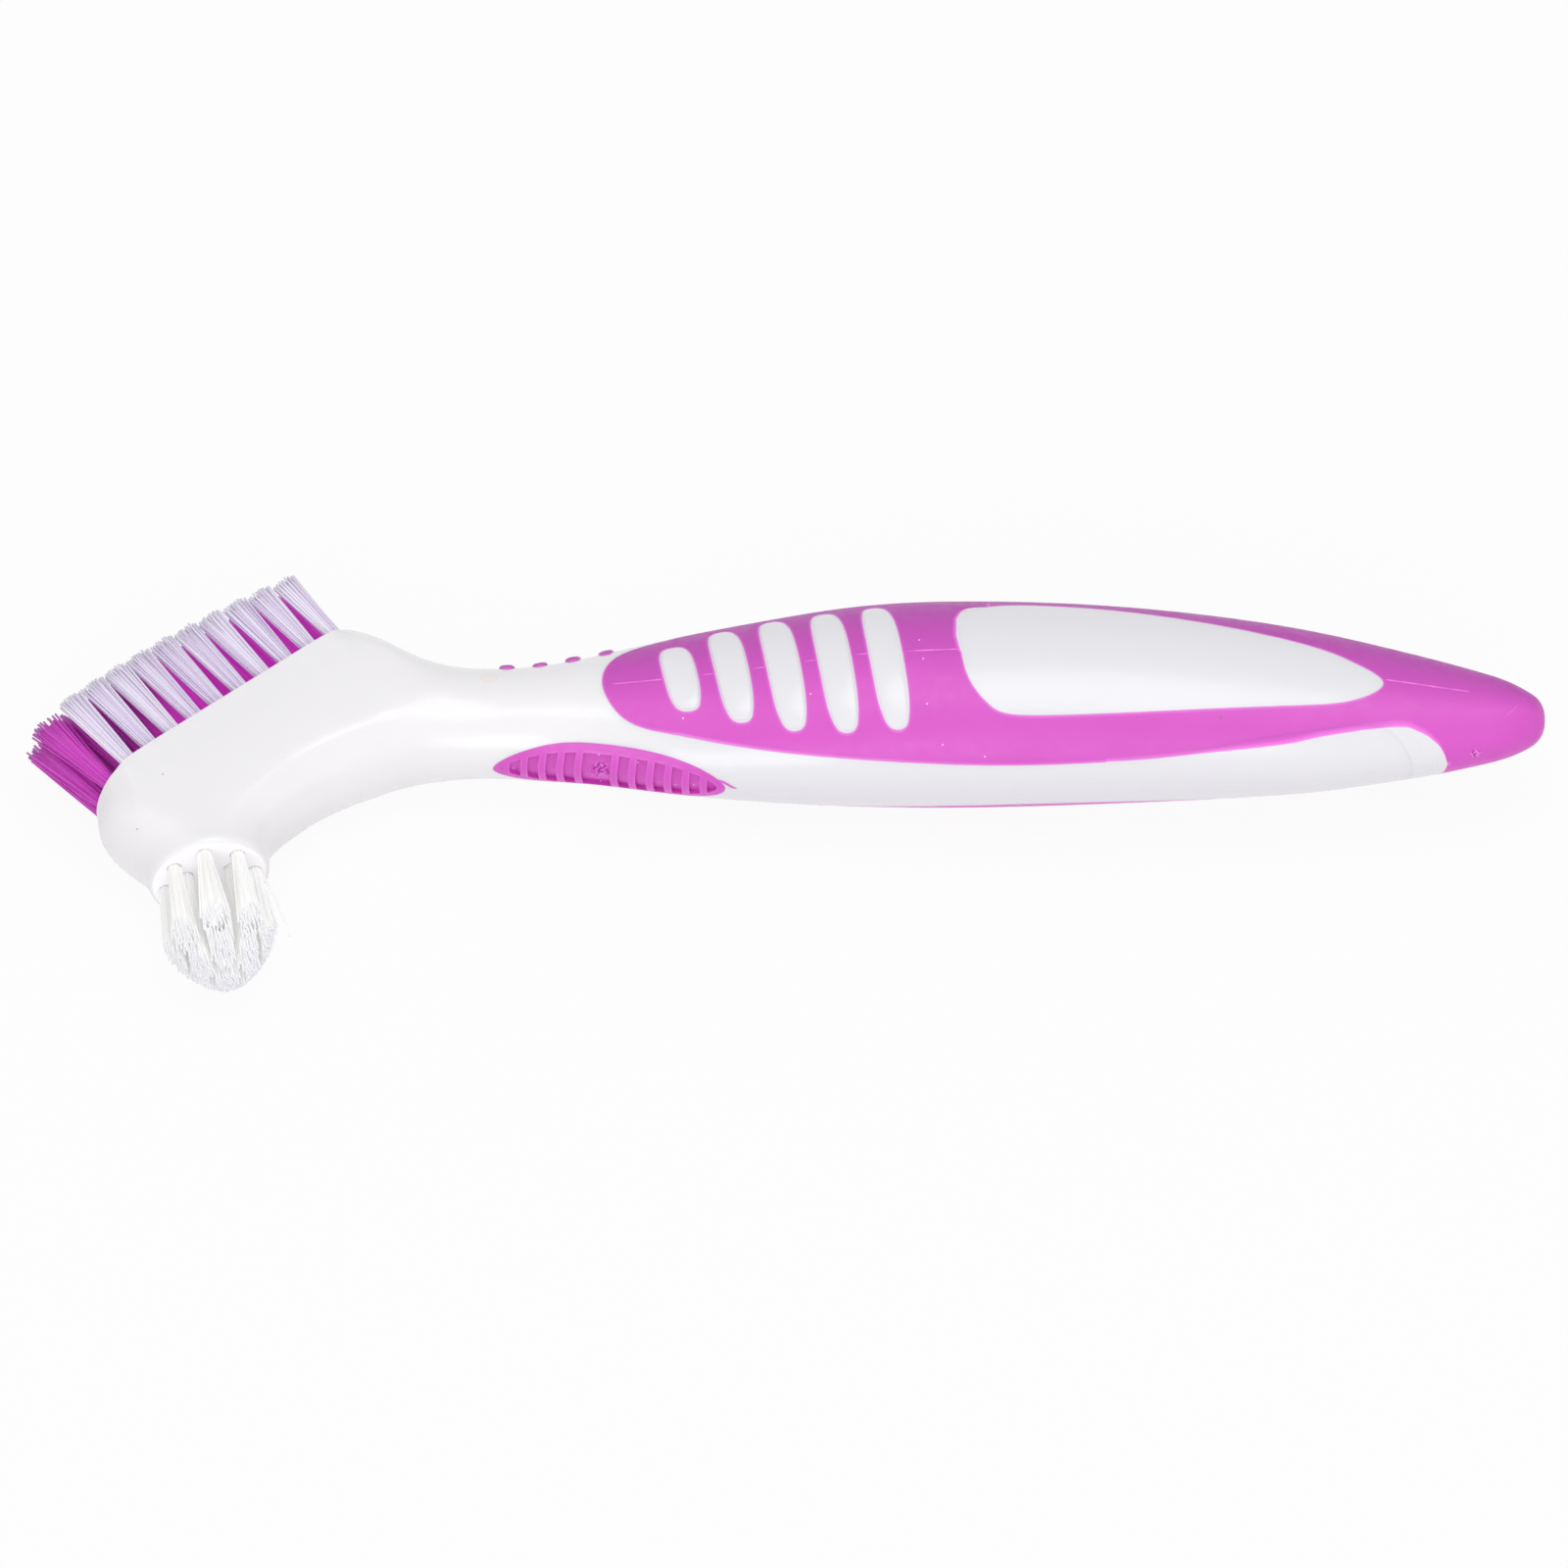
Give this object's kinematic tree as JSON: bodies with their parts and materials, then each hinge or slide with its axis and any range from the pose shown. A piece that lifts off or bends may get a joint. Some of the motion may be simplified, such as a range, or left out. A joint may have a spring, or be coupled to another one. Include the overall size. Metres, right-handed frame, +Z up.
{
  "type": "denture brush",
  "caption": "Two-sided denture brush: a long angled brush for tooth surfaces, a small domed brush under it for hollows, and a fat handle with a soft ribbed grip.",
  "frame": {"origin": "Middle of the bounding box's bottom face, on the surface the brush lies on.", "axes": "+X runs along the handle from the brush head to the tail, +Y from the thumb pad's side to the large brush's side, and +Z up from the side that the brush lies on."},
  "size_m": [0.1764, 0.0562, 0.0215],
  "materials": {
    "white_plastic": "gloss",
    "purple_rubber": "satin",
    "white_bristle": "matte",
    "purple_bristle": "matte",
    "anchor_metal": "satin"
  },
  "bodies": {
    "root": {"handle_core": "white_plastic", "soft_grip": "purple_rubber", "thumb_pad": "purple_rubber", "neck_ridge_1": "purple_rubber", "neck_ridge_2": "purple_rubber", "neck_ridge_3": "purple_rubber", "neck_ridge_4": "purple_rubber", "side_tufts_near": "white_bristle", "side_tufts_far": "white_bristle", "small_tufts_outer": "white_bristle", "small_tufts_inner": "white_bristle", "small_tuft_centre": "white_bristle", "purple_tufts_near": "purple_bristle", "purple_tufts_mid": "purple_bristle", "purple_tufts_far": "purple_bristle", "anchors_side_tufts_near": "anchor_metal", "anchors_side_tufts_far": "anchor_metal", "anchors_small_tufts_outer": "anchor_metal", "anchors_small_tufts_inner": "anchor_metal", "anchors_small_tuft_centre": "anchor_metal", "anchors_purple_tufts_near": "anchor_metal", "anchors_purple_tufts_mid": "anchor_metal", "anchors_purple_tufts_far": "anchor_metal"}
  },
  "joints": []
}
